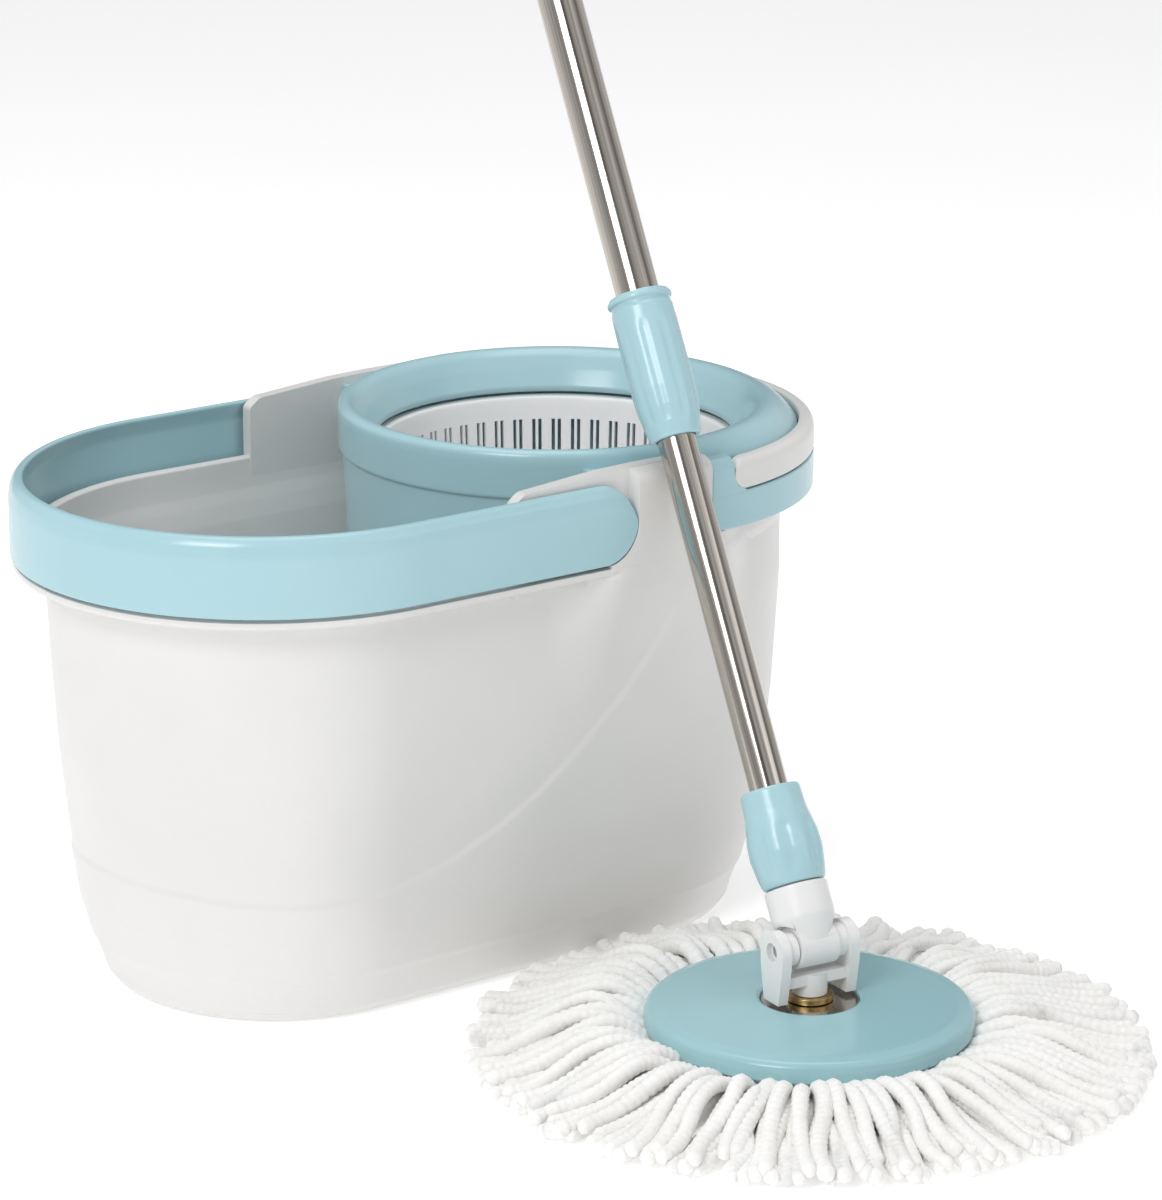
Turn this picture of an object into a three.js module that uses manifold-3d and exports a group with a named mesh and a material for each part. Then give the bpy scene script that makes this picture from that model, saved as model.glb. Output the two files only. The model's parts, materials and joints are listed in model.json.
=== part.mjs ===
// Spin mop set: a two-lobed bucket with a spin basket, and a mop that leans on the bucket's rim.
// Millimetres, +Z up. The origin is the centre of the bucket's base, and the bucket is long along X.
// The mop stands on the floor on the bucket's -Y side, and its pole leans towards +Y.
import * as THREE from 'three';
import { mergeVertices } from 'three/addons/utils/BufferGeometryUtils.js';
import Module from 'manifold-3d';

const wasm = await Module();
wasm.setup();

// ---------------------------------------------------------------- driving dimensions

const ROUND = 40;             // segments round a large ring
const SMALL_ROUND = 16;       // segments round a pin, tube or bush
const GAP = 0.3;              // clearance between pieces that touch

const BUCKET_STRAIGHT = 90;   // half of the bucket's straight side
const RIM_RADIUS = 129;       // end radius of the rim's outline
const LEDGE_Z = 218.5;        // top of the ledge that the carry handle sits over
const RIM_INNER = 116.5;      // inside of the wall above the ledge
const SHOULDER_OUTER = 120.5; // outside of the shoulder plate behind the carry handle
const SHOULDER_START = -28;   // shoulder, along X
const SHOULDER_STEP = 41.2;   // where the shoulder comes out flush with the handle
const SKIRT_START = 87;       // where the wringer frame's skirt begins

const CARRY_PIVOT = { x: 20.5, z: 240.5 };
const CARRY_HALF_HEIGHT = 20;
const CARRY_PIN_RADIUS = 4;
const TILT_PIVOT = { x: 109.5, z: 254 };
const TILT_HALF_HEIGHT = 8;
const TILT_PIN_RADIUS = 2.8;
const RAISED_INNER = 117.8;   // the raised tilt handle's arms stay outside this
const RAISED_LOWEST = 252;    // and above this where they meet the skirt's wall
const TURN_CLEARANCE = 0.5;   // between the end of a handle and the pocket that it turns in

const WELL_X = 85;            // axis of the wringer well and of the basket
const WELL_FLOOR = 105;
const SLOT_PAIRS = 54;
const SPINDLE_RADIUS = 4;

const MOP_X = 47;
const MOP_Y = -259;
const PIVOT_Z = 57.6;         // height of the yoke pin
const YOKE_TURN = -6.5;       // degrees about Z
const REFILL_RADIUS = 165;
const SWIVEL_RADIUS = 5;

const LOWER_TUBE_RADIUS = 9.5;
const UPPER_TUBE_RADIUS = 11;
const TUBE_WALL = 0.8;
const LOWER_TUBE_TOP = 600;   // all pole lengths run from the yoke pin
const UPPER_TUBE_START = 285.4;
const UPPER_TUBE_TOP = 905;
const ROD_START = 86;
const ROD_TOP = 875;
const ROD_SIDE = 5;
const ROD_LEAD = 120;         // advance of the twisted rod for one turn
const LOOP_START = 990.3;
const LOOP_CENTRE = 1004;     // middle of the hole for a hook
const LOOP_RADIUS = 13;
const LOOP_HOLE_RADIUS = 6.5;
const LOOP_THICKNESS = 8;

// The tube rests on the top edge of the rim, which is the corner at RIM_EDGE_Z.
const RIM_EDGE_Z = 262.5;
const RIM_CLEARANCE = 0.8;
const toRimY = -RIM_RADIUS - MOP_Y;
const toRimZ = RIM_EDGE_Z - PIVOT_Z;
const rimAngle = Math.atan2(toRimY, toRimZ);
const rimOffset = Math.asin((LOWER_TUBE_RADIUS + RIM_CLEARANCE) / Math.hypot(toRimY, toRimZ));
const POLE_LEAN = rimAngle - rimOffset;

// ---------------------------------------------------------------- materials

const plastic = (color, roughness = 0.35) =>
  new THREE.MeshStandardMaterial({ color, roughness, metalness: 0 });
const metal = (color, roughness = 0.25) =>
  new THREE.MeshStandardMaterial({ color, roughness, metalness: 1 });

const BLUE = plastic(0x9fcbd5);
const GREY = plastic(0xe4e3e1, 0.45);
const WHITE = plastic(0xf2f1ef, 0.4);
const YARN = plastic(0xf4f2ee, 0.95);
const STAINLESS = metal(0xb9b4ac);
const STEEL = metal(0x9a9a98, 0.4);
const BRASS = metal(0xb89a62, 0.35);

// ---------------------------------------------------------------- solids

// Vertices that coincide are joined, and a face that has lost a side is dropped.
function closed(geometry) {
  geometry.deleteAttribute('normal');
  geometry.deleteAttribute('uv');
  const merged = mergeVertices(geometry, 1e-4);
  const index = merged.index.array;
  const kept = [];
  for (let i = 0; i < index.length; i += 3) {
    const [a, b, c] = [index[i], index[i + 1], index[i + 2]];
    if (a !== b && b !== c && c !== a) kept.push(a, b, c);
  }
  merged.setIndex(signedVolume(merged, kept) < 0 ? kept.reverse() : kept);
  return merged;
}

function signedVolume(geometry, index) {
  const position = geometry.attributes.position;
  const [a, b, c] = [new THREE.Vector3(), new THREE.Vector3(), new THREE.Vector3()];
  let volume = 0;
  for (let i = 0; i < index.length; i += 3) {
    a.fromBufferAttribute(position, index[i]);
    b.fromBufferAttribute(position, index[i + 1]);
    c.fromBufferAttribute(position, index[i + 2]);
    volume += a.dot(b.cross(c)) / 6;
  }
  return volume;
}

function solid(geometry) {
  const shape = closed(geometry);
  return new wasm.Manifold(new wasm.Mesh({
    numProp: 3,
    vertProperties: new Float32Array(shape.attributes.position.array),
    triVerts: new Uint32Array(shape.index.array),
  }));
}

function geometryOf(manifold) {
  const mesh = manifold.getMesh();
  const geometry = new THREE.BufferGeometry();
  geometry.setAttribute('position', new THREE.BufferAttribute(mesh.vertProperties, 3));
  geometry.setIndex(new THREE.BufferAttribute(mesh.triVerts, 1));
  return geometry;
}

const join = (...pieces) => pieces.reduce((sum, piece) => sum.add(piece));
const cut = (body, ...tools) => tools.reduce((rest, tool) => rest.subtract(tool), body);

// A ring or solid of revolution about Z. The profile is a list of [radius, z] that starts and ends
// on the axis, or closes on itself.
function turned(profile, segments = SMALL_ROUND) {
  const onAxis = profile[0][0] === 0 && profile[profile.length - 1][0] === 0;
  const points = (onAxis ? profile : [...profile, profile[0]]).map(([r, z]) => new THREE.Vector2(r, z));
  return new THREE.LatheGeometry(points, segments).rotateX(Math.PI / 2);
}

// The same, pulled apart along X by a straight side: in plan it is a stadium. No vertex lies on the
// plane X = 0, so each one goes to the end that it belongs to. A profile point's third value is
// its own half straight side.
function stretched(profile, segments = ROUND) {
  const onAxis = profile[0][0] === 0 && profile[profile.length - 1][0] === 0;
  const rows = onAxis ? profile : [...profile, profile[0]];
  const points = rows.map(([r, z]) => new THREE.Vector2(r, z));
  const start = Math.PI / segments;
  const geometry = new THREE.LatheGeometry(points, segments, start).rotateX(Math.PI / 2);
  const position = geometry.attributes.position;
  for (let i = 0; i < position.count; i += 1) {
    const angle = start + Math.floor(i / rows.length) * 2 * Math.PI / segments;
    const straight = rows[i % rows.length][2] ?? BUCKET_STRAIGHT;
    position.setX(i, position.getX(i) + Math.sign(Math.sin(angle)) * straight);
  }
  return geometry;
}

function block([x0, x1], [y0, y1], [z0, z1]) {
  const box = new THREE.BoxGeometry(x1 - x0, y1 - y0, z1 - z0);
  return box.translate((x0 + x1) / 2, (y0 + y1) / 2, (z0 + z1) / 2);
}

// A rod along Y, from y0 to y1, with its axis at x and z.
function rodY(radius, { x, z }, y0, y1, segments = SMALL_ROUND) {
  const rod = new THREE.CylinderGeometry(radius, radius, y1 - y0, segments);
  return rod.translate(x, (y0 + y1) / 2, 0).translate(0, 0, z);
}

function rodX(radius, x0, x1, segments = SMALL_ROUND) {
  const rod = new THREE.CylinderGeometry(radius, radius, x1 - x0, segments);
  return rod.rotateZ(Math.PI / 2).translate((x0 + x1) / 2, 0, 0);
}

function rodZ(radius, x, y, z0, z1, segments = SMALL_ROUND) {
  const rod = new THREE.CylinderGeometry(radius, radius, z1 - z0, segments);
  return rod.rotateX(Math.PI / 2).translate(x, y, (z0 + z1) / 2);
}

function outline(points) {
  return new THREE.Shape(points.map(([u, v]) => new THREE.Vector2(u, v)));
}

// A plate drawn in X and Z, from y0 to y1.
function plateXZ(points, y0, y1) {
  const plate = new THREE.ExtrudeGeometry(outline(points), { depth: y1 - y0, bevelEnabled: false });
  return plate.rotateX(Math.PI / 2).translate(0, y1, 0);
}

// A plate drawn in Y and Z, from x0 to x1.
function plateYZ(points, x0, x1) {
  const plate = new THREE.ExtrudeGeometry(outline(points), { depth: x1 - x0, bevelEnabled: false });
  return plate.rotateX(Math.PI / 2).rotateZ(Math.PI / 2).translate(x0, 0, 0);
}

function mesh(name, geometry, material) {
  const piece = new THREE.Mesh(geometry, material);
  piece.name = name;
  return piece;
}

const turnedMesh = (name, profile, material, segments) =>
  mesh(name, closed(turned(profile, segments)), material);

const bothSides = (make) => [make(-1), make(1)];
const sideSpan = (side, near, far) => (side < 0 ? [-far, -near] : [near, far]);

// Holes for a handle's two pins, from near to far on each side.
const pinHoles = (radius, pivot, near, far) =>
  bothSides((side) => solid(rodY(radius + GAP, pivot, ...sideSpan(side, near, far))));

// ---------------------------------------------------------------- bucket

const OUTER_WALL = [
  [80, 0, 88], [85, 1.5, 88], [88, 6, 88], [94, 25, 89], [98.5, 45], [103.5, 80], [107.5, 120],
  [110.5, 170], [112, 205], [114, 211], [127, 215], [128, 216.5], [127.5, LEDGE_Z],
];
const WALL_TOP = [[119.5, 219], [119.5, 231.5], [118, 232.5], [RIM_INNER, 231.5], [RIM_INNER, 219.5]];
const INNER_WALL = [
  [109.4, 212], [109.4, 205], [107.9, 170], [104.9, 120], [100.9, 80], [95.9, 45], [91.2, 27, 89],
  [86, 9, 88], [80, 3.2, 88], [0, 3.2, 88],
];

function shoulder(side) {
  const behindHandle = solid(plateXZ([
    [SHOULDER_START, 219], [SHOULDER_STEP + 1, 219], [SHOULDER_STEP + 1, 266.6],
    [24, 266], [-22, 262.5], [SHOULDER_START, 258],
  ], ...sideSpan(side, RIM_INNER, SHOULDER_OUTER)));
  const flush = solid(plateYZ([
    [side * (RIM_INNER - 7), 150], [side * 112, 152], [side * 119, 180], [side * 126, 203],
    [side * RIM_RADIUS, 216], [side * RIM_RADIUS, 261], [side * 127, 264.5], [side * 121, 266.6],
    [side * RIM_INNER, 266.6], [side * RIM_INNER, 216], [side * (RIM_INNER - 6.6), 205],
  ], SHOULDER_STEP, SKIRT_START - GAP));
  const underHandleEnd = solid(block([CARRY_PIVOT.x, SHOULDER_STEP + 1],
    sideSpan(side, SHOULDER_OUTER - 1, RIM_RADIUS), [LEDGE_Z - 2, CARRY_PIVOT.z]));
  const handleEnd = solid(rodY(CARRY_HALF_HEIGHT + 0.6, CARRY_PIVOT,
    ...sideSpan(side, SHOULDER_OUTER, RIM_RADIUS + 2), 40));
  return join(behindHandle, cut(join(flush, underHandleEnd), handleEnd));
}

function bucketBody() {
  const shell = solid(stretched([[0, 0, 88], ...OUTER_WALL, ...WALL_TOP, ...INNER_WALL]));
  const underSkirt = solid(stretched([[RIM_INNER, 230], [119.5, 230], [119.5, 241.8], [RIM_INNER, 241.8]]));
  const rightEnd = solid(block([SKIRT_START, 260], [-140, 140], [200, 300]));
  const ledge = solid(stretched([[119.6, 205], [140, 205], [140, 240], [119.6, 240]]));
  const body = join(cut(shell, ledge.intersect(rightEnd)), underSkirt.intersect(rightEnd));
  const [front, back] = bothSides(shoulder);
  const holes = pinHoles(CARRY_PIN_RADIUS, CARRY_PIVOT, 110, 129);
  return mesh('bucket_body', geometryOf(cut(join(body, front, back), ...holes)), GREY);
}

// ---------------------------------------------------------------- handles

function carryHandle() {
  const ring = solid(stretched([
    [129, 220.5], [129, 250], [128, 256], [125.5, 259.8], [122.5, 260.5], [121.4, 259.2],
    [122.4, 256.5], [124.3, 251], [124.3, 220.5],
  ]));
  const arms = solid(block([-230, CARRY_PIVOT.x], [-140, 140], [200, 280]));
  const ends = solid(rodY(CARRY_HALF_HEIGHT, CARRY_PIVOT, -140, 140, 32));
  const bosses = bothSides((side) => solid(rodY(11, CARRY_PIVOT, ...sideSpan(side, 121.4, 126))));
  const holes = pinHoles(CARRY_PIN_RADIUS, CARRY_PIVOT, 120, 127.4);
  const handle = join(ring.intersect(join(arms, ends)), ...bosses);
  return mesh('carry_handle', geometryOf(cut(handle, ...holes)), BLUE);
}

function carryPin(side) {
  const pin = solid(rodY(CARRY_PIN_RADIUS, CARRY_PIVOT, ...sideSpan(side, RIM_INNER, 127)));
  return mesh(side < 0 ? 'carry_pin_front' : 'carry_pin_back', geometryOf(pin), STEEL);
}

function tiltHandle() {
  const ring = solid(stretched([
    [121.2, 246], [129, 246], [129, 257.5], [127.5, 260.8], [124.5, 262], [121.2, 262],
  ]));
  const arm = solid(block([TILT_PIVOT.x, 260], [-140, 140], [230, 280]));
  const ends = solid(rodY(TILT_HALF_HEIGHT, TILT_PIVOT, -140, 140, 24));
  const holes = pinHoles(TILT_PIN_RADIUS, TILT_PIVOT, 110, 125.4);
  return mesh('tilt_handle', geometryOf(cut(ring.intersect(join(arm, ends)), ...holes)), GREY);
}

function tiltPin(side) {
  const pin = solid(rodY(TILT_PIN_RADIUS, TILT_PIVOT, ...sideSpan(side, 113, 125)));
  return mesh(side < 0 ? 'tilt_pin_front' : 'tilt_pin_back', geometryOf(pin), STEEL);
}

// ---------------------------------------------------------------- wringer frame

const COLLAR = [
  [91.5, 252.5], [97, 262], [101.5, 268], [106, 271], [109, 271], [111.8, 268.5], [111.6, 246.5],
  [109.5, 245.5], [108, 214], [106.5, 170], [101.5, WELL_FLOOR], [11, WELL_FLOOR], [11, 98],
  [4.3, 98], [4.3, 114], [11, 114], [11, 108], [99.4, 108], [104.3, 170], [105.8, 214],
  [107, 246], [93, 250],
];
const SKIRT = [
  [129, 227], [129, 245.2], [120.3, 245.2], [120.3, 258.5], [119, 260], [104, 260], [104, 257],
  [117.3, 257], [117.3, 242.2], [126, 242.2], [126, 227],
];
const SKIRT_ROOT = [[119.5, 244.5], [129, 244.5], [129, 259], [126, 262.5], [119.5, 264]];

function drainHoles(count, radius, ring, z0, z1) {
  const holes = [];
  for (let i = 0; i < count; i += 1) {
    const angle = (i + 0.5) * 2 * Math.PI / count;
    holes.push(solid(rodZ(radius, ring * Math.cos(angle), ring * Math.sin(angle), z0, z1, 8)));
  }
  return holes;
}

function wringerFrame() {
  const collar = cut(solid(turned(COLLAR, ROUND)), ...drainHoles(8, 15, 58, 100, 112));
  const collarInPlace = collar.translate([WELL_X, 0, 0]);
  const rightEnd = solid(block([SKIRT_START, 260], [-140, 140], [200, 300]));
  const skirt = solid(stretched(SKIRT)).intersect(rightEnd);
  const rootSpan = solid(block([SKIRT_START, TILT_PIVOT.x], [-140, 140], [240, 270]));
  const pocketRadius = TILT_HALF_HEIGHT + TURN_CLEARANCE;
  const handleEnd = solid(rodY(pocketRadius, TILT_PIVOT, -140, 140, 32));
  const raisedSpan = [TILT_PIVOT.x - pocketRadius, TILT_PIVOT.x + pocketRadius];
  const raisedHandle = bothSides((side) =>
    solid(block(raisedSpan, sideSpan(side, RAISED_INNER, 140), [RAISED_LOWEST, 280])));
  const abovePocket = solid(block(raisedSpan, [-140, 140], [TILT_PIVOT.z, 280]));
  const root = cut(solid(stretched(SKIRT_ROOT)).intersect(rootSpan), handleEnd, abovePocket);
  const deck = solid(block([30, SKIRT_START + 1], [-116.2, 116.2], [257, 262]));
  const tab = solid(block([30, 33], [-116.2, 116.2], [246, 259]));
  const well = solid(rodZ(106.5, WELL_X, 0, 240, 280, ROUND));
  const holes = pinHoles(TILT_PIN_RADIUS, TILT_PIVOT, 110, 125);
  const frame = join(collarInPlace, skirt, root, cut(join(deck, tab), well));
  return mesh('wringer_frame', geometryOf(cut(frame, ...holes, ...raisedHandle)), BLUE);
}

// ---------------------------------------------------------------- spin basket

const BASKET = [
  [89.5, 248], [96, 248], [96, 245.5], [91.6, 245], [87, 161], [84.5, 155], [12, 155], [12, 117],
  [8, 117], [8, 166], [12, 166], [12, 157.5], [82.5, 157.5], [84.7, 161],
];
const SLOT_WIDTH = 1.8;
const SLOT_OFFSET = 1.6;      // half the distance between the two slots of a pair
const SLOT_SPAN = [172, 236];

function spinBasket() {
  const slots = [];
  for (let i = 0; i < SLOT_PAIRS; i += 1) {
    for (const offset of [-SLOT_OFFSET, SLOT_OFFSET]) {
      const slot = block([84, 94], [offset - SLOT_WIDTH / 2, offset + SLOT_WIDTH / 2], SLOT_SPAN);
      slots.push(solid(slot.rotateZ(i * 2 * Math.PI / SLOT_PAIRS)));
    }
  }
  const drains = drainHoles(8, 6, 52, 150, 160);
  const basket = cut(solid(turned(BASKET, SLOT_PAIRS)), ...slots, ...drains);
  return mesh('spin_basket', geometryOf(basket), GREY);
}

function spindleNut() {
  const hexagon = solid(new THREE.CylinderGeometry(7.5, 7.5, 6, 6).rotateX(Math.PI / 2));
  const bore = solid(rodZ(SPINDLE_RADIUS + GAP, 0, 0, -4, 4));
  return mesh('spindle_nut', geometryOf(cut(hexagon, bore).translate([0, 0, 171.5])), STEEL);
}

function basketGroup() {
  const group = new THREE.Group();
  group.position.x = WELL_X;
  const bore = SPINDLE_RADIUS + GAP;
  group.add(
    spinBasket(),
    turnedMesh('basket_spindle',
      [[0, 94], [7, 94], [7, 97.7], [SPINDLE_RADIUS, 97.7], [SPINDLE_RADIUS, 176], [0, 176]], STEEL),
    turnedMesh('thrust_washer', [[bore, 114.3], [9.5, 114.3], [9.5, 116.4], [bore, 116.4]], BRASS),
    turnedMesh('basket_bush', [[bore, 117], [7.7, 117], [7.7, 166], [bore, 166]], WHITE),
    turnedMesh('nut_washer', [[bore, 166.4], [9.5, 166.4], [9.5, 168.2], [bore, 168.2]], STEEL),
    spindleNut(),
    turnedMesh('basket_cap', [
      [0, 182], [8, 181.5], [16, 178], [22, 169], [23, 158], [26, 158], [25, 170], [18, 181],
      [8, 184], [0, 184.5],
    ], GREY, 24),
  );
  return group;
}

// ---------------------------------------------------------------- mop head

function mopHead() {
  const group = new THREE.Group();
  group.position.set(MOP_X, MOP_Y, 0);
  const bore = SWIVEL_RADIUS + GAP;
  group.add(
    turnedMesh('head_disc', [
      [bore, 13.2], [30, 13.2], [30, 16.7], [78, 16.7], [80, 18.5], [80.2, 22.5], [78.5, 26.5],
      [72, 28.6], [24.3, 31.2], [24, 28.2], [bore, 28.2],
    ], BLUE, ROUND),
    turnedMesh('refill_ring', [[31, 12.8], [76, 12.8], [76, 16.3], [31, 16.3]], WHITE, ROUND),
    turnedMesh('refill_strands', [
      [60, 0], [158, 0], [REFILL_RADIUS, 3], [REFILL_RADIUS, 6], [160, 9.5], [140, 15], [112, 20],
      [94, 20], [83, 15.6], [78, 12.4], [60, 12.4],
    ], YARN, ROUND),
    turnedMesh('swivel_washer_steel', [[6.5, 28.5], [23.6, 28.5], [23.6, 29.9], [6.5, 29.9]], STAINLESS, 32),
    turnedMesh('swivel_washer_brass', [[bore, 30.2], [11.5, 30.2], [11.5, 33.3], [bore, 33.3]], BRASS),
    turnedMesh('swivel_bolt',
      [[0, 10], [9, 10], [9, 12.9], [SWIVEL_RADIUS, 12.9], [SWIVEL_RADIUS, 43], [0, 43]], STEEL),
  );
  return group;
}

// ---------------------------------------------------------------- yoke, about its pin

const EAR_INNER = 16.7;
const EAR_OUTER = 22.2;
const PIN_RADIUS = 3;

function ear(side) {
  const points = [[-6.5, -25.5], [6.5, -25.5], [9.5, -8]];
  for (let i = 0; i <= 10; i += 1) {
    const angle = i * Math.PI / 10;
    points.push([10 * Math.cos(angle), 10 * Math.sin(angle)]);
  }
  points.push([-9.5, -8]);
  return solid(plateYZ(points, ...sideSpan(side, EAR_INNER, EAR_OUTER)));
}

function yoke() {
  const bridge = solid(block([-EAR_INNER - 1, EAR_INNER + 1], [-6.5, 6.5], [-18, -12.5]));
  const post = solid(rodZ(8.5, 0, 0, -24, -13));
  const boltHole = solid(rodZ(SWIVEL_RADIUS + GAP, 0, 0, -26, -14.2));
  const pinHole = solid(rodX(PIN_RADIUS + GAP, -30, 30));
  return mesh('yoke', geometryOf(cut(join(bridge, post, ear(-1), ear(1)), boltHole, pinHole)), WHITE);
}

// ---------------------------------------------------------------- pole, along Z from the yoke pin

const SOCKET_PLUG_RADIUS = 12.2;
const SLEEVE_BORE = 13.5;

function poleSocket() {
  const tubeBore = LOWER_TUBE_RADIUS + GAP;
  const body = solid(turned([
    [0, 0], [10, 0], [15.6, 13], [15.6, 29], [SOCKET_PLUG_RADIUS, 29.3], [SOCKET_PLUG_RADIUS, 74],
    [tubeBore, 74], [tubeBore, 33], [0, 33],
  ], 24));
  const tongue = solid(rodX(10.2, -16.2, 16.2));
  const pinHole = solid(rodX(PIN_RADIUS + GAP, -30, 30));
  return mesh('pole_socket', geometryOf(cut(join(body, tongue), pinHole)), WHITE);
}

function tube(name, radius, z0, z1) {
  const inner = radius - TUBE_WALL;
  return turnedMesh(name, [[inner, z0], [radius, z0], [radius, z1], [inner, z1]], STAINLESS, 24);
}

// A square bar, turned evenly along its length.
function driveRod() {
  const length = ROD_TOP - ROD_START;
  const half = ROD_SIDE / 2;
  const section = outline([[-half, -half], [half, -half], [half, half], [-half, half]]);
  const bar = new THREE.ExtrudeGeometry(section, { depth: length, steps: 40, bevelEnabled: false });
  const position = bar.attributes.position;
  const point = new THREE.Vector3();
  const axis = new THREE.Vector3(0, 0, 1);
  for (let i = 0; i < position.count; i += 1) {
    point.fromBufferAttribute(position, i);
    point.applyAxisAngle(axis, point.z * 2 * Math.PI / ROD_LEAD);
    position.setXYZ(i, point.x, point.y, point.z + ROD_START);
  }
  return mesh('drive_rod', closed(bar), STEEL);
}

function hangLoop() {
  const shape = new THREE.Shape();
  shape.moveTo(-LOOP_RADIUS, LOOP_START);
  shape.lineTo(LOOP_RADIUS, LOOP_START);
  shape.lineTo(LOOP_RADIUS, LOOP_CENTRE);
  shape.absarc(0, LOOP_CENTRE, LOOP_RADIUS, 0, Math.PI, false);
  shape.closePath();
  shape.holes.push(new THREE.Path().absarc(0, LOOP_CENTRE, LOOP_HOLE_RADIUS, 0, 2 * Math.PI, true));
  const drawing = { depth: LOOP_THICKNESS, bevelEnabled: false, curveSegments: 10 };
  const plate = new THREE.ExtrudeGeometry(shape, drawing);
  return mesh('hang_loop', closed(plate.rotateX(Math.PI / 2).translate(0, LOOP_THICKNESS / 2, 0)), BLUE);
}

function pole() {
  const group = new THREE.Group();
  group.rotation.x = -POLE_LEAN;
  const rodBore = 4;
  group.add(
    poleSocket(),
    turnedMesh('socket_sleeve', [
      [12.6, 29.8], [15.2, 29.8], [17.2, 37], [18.3, 46], [17.6, 54], [15.6, 64], [14.4, 77.8],
      [12.6, 77.8],
    ], BLUE, 24),
    tube('lower_tube', LOWER_TUBE_RADIUS, 33.4, LOWER_TUBE_TOP),
    turnedMesh('clutch_ring', [[rodBore, 566], [8.4, 566], [8.4, 582], [rodBore, 582]], STEEL),
    turnedMesh('drive_nut', [[rodBore, 582.5], [8.4, 582.5], [8.4, 599], [rodBore, 599]], WHITE),
    driveRod(),
    turnedMesh('lock_liner', [
      [9.8, 262], [13.2, 262], [13.2, 322], [11.3, 322], [11.3, 285], [9.8, 285],
    ], WHITE, 24),
    turnedMesh('lock_sleeve', [
      [10, 256.6], [12.6, 256.6], [14.8, 264], [16.6, 280], [16.9, 312], [16.4, 320], [18.6, 321.5],
      [18.6, 326], [15.6, 327.5], [15.6, 331], [SLEEVE_BORE, 331], [SLEEVE_BORE, 261.6], [10, 261.6],
    ], BLUE, 24),
    tube('upper_tube', UPPER_TUBE_RADIUS, UPPER_TUBE_START, UPPER_TUBE_TOP),
    turnedMesh('rod_anchor',
      [[0, 876], [4.2, 876], [4.2, 862], [9.9, 862], [9.9, 880], [0, 880]], WHITE),
    turnedMesh('hand_grip', [
      [0, 905.4], [11.3, 905.4], [11.3, 850], [14, 850], [15.2, 856], [14.6, 900], [15.4, 950],
      [15, 984], [13.5, 990], [0, 990],
    ], BLUE, 24),
    hangLoop(),
  );
  return group;
}

function yokeAndPole() {
  const group = new THREE.Group();
  group.position.set(MOP_X, MOP_Y, PIVOT_Z);
  group.rotation.z = THREE.MathUtils.degToRad(YOKE_TURN);
  group.add(yoke(), mesh('yoke_pin', closed(rodX(PIN_RADIUS, -21.5, 21.5)), STEEL), pole());
  return group;
}

// ---------------------------------------------------------------- the whole set

const spinMop = new THREE.Group();
spinMop.add(
  bucketBody(), carryHandle(), ...bothSides(carryPin), tiltHandle(), ...bothSides(tiltPin),
  wringerFrame(), basketGroup(), mopHead(), yokeAndPole(),
);

export default spinMop;
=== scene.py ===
import json
import math
import random

import bmesh
import bpy
import numpy as np
from mathutils import Matrix, Vector


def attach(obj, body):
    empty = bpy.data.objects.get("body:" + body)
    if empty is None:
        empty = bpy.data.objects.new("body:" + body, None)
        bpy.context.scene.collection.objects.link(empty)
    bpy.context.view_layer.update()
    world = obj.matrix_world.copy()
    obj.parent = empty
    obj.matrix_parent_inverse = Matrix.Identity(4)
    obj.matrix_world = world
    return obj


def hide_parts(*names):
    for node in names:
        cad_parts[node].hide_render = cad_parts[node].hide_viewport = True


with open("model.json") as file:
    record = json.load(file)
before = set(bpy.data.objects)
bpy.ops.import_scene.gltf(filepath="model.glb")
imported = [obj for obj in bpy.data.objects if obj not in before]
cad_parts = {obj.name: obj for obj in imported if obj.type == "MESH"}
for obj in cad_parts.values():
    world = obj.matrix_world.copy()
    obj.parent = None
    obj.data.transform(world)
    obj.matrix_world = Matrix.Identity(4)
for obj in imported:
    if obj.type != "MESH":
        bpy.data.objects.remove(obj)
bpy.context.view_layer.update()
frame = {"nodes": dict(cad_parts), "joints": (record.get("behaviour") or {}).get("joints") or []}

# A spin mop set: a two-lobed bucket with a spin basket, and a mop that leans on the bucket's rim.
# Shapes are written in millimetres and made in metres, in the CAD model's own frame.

MM = 0.001
UP = Vector((0, 0, 1))
IDENTITY = Matrix.Identity(4)

# ---------------------------------------------------------------- places, from the frame

JOINTS = {joint["name"]: joint for joint in frame["joints"]}
HALF_STRAIGHT = 90
WELL_X = JOINTS["basket_spin"]["pos_m"][0] / MM
MOP_X = JOINTS["disc_spin"]["pos_m"][0] / MM
MOP_Y = JOINTS["disc_spin"]["pos_m"][1] / MM
PIVOT = Vector(JOINTS["pole_tilt"]["pos_m"])
CARRY_X = JOINTS["carry_handle_swing"]["pos_m"][0] / MM
CARRY_Z = JOINTS["carry_handle_swing"]["pos_m"][2] / MM
TILT_X = JOINTS["tilt_handle_swing"]["pos_m"][0] / MM
TILT_Z = JOINTS["tilt_handle_swing"]["pos_m"][2] / MM


def frame_of(x_axis, z_axis, origin):
    """A frame with these two axes, which are square to each other."""
    x = Vector(x_axis).normalized()
    z = Vector(z_axis).normalized()
    y = z.cross(x)
    return Matrix.Translation(origin) @ Matrix((x, y, z)).transposed().to_4x4()


YOKE_AXIS = JOINTS["pole_tilt"]["axis"]
WELL_FRAME = Matrix.Translation((WELL_X * MM, 0, 0))
MOP_FRAME = Matrix.Translation((MOP_X * MM, MOP_Y * MM, 0))
YOKE_FRAME = frame_of(YOKE_AXIS, UP, PIVOT)
POLE_FRAME = frame_of(YOKE_AXIS, JOINTS["pole_stroke"]["axis"], PIVOT)


# ---------------------------------------------------------------- camera, floor and light

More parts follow.
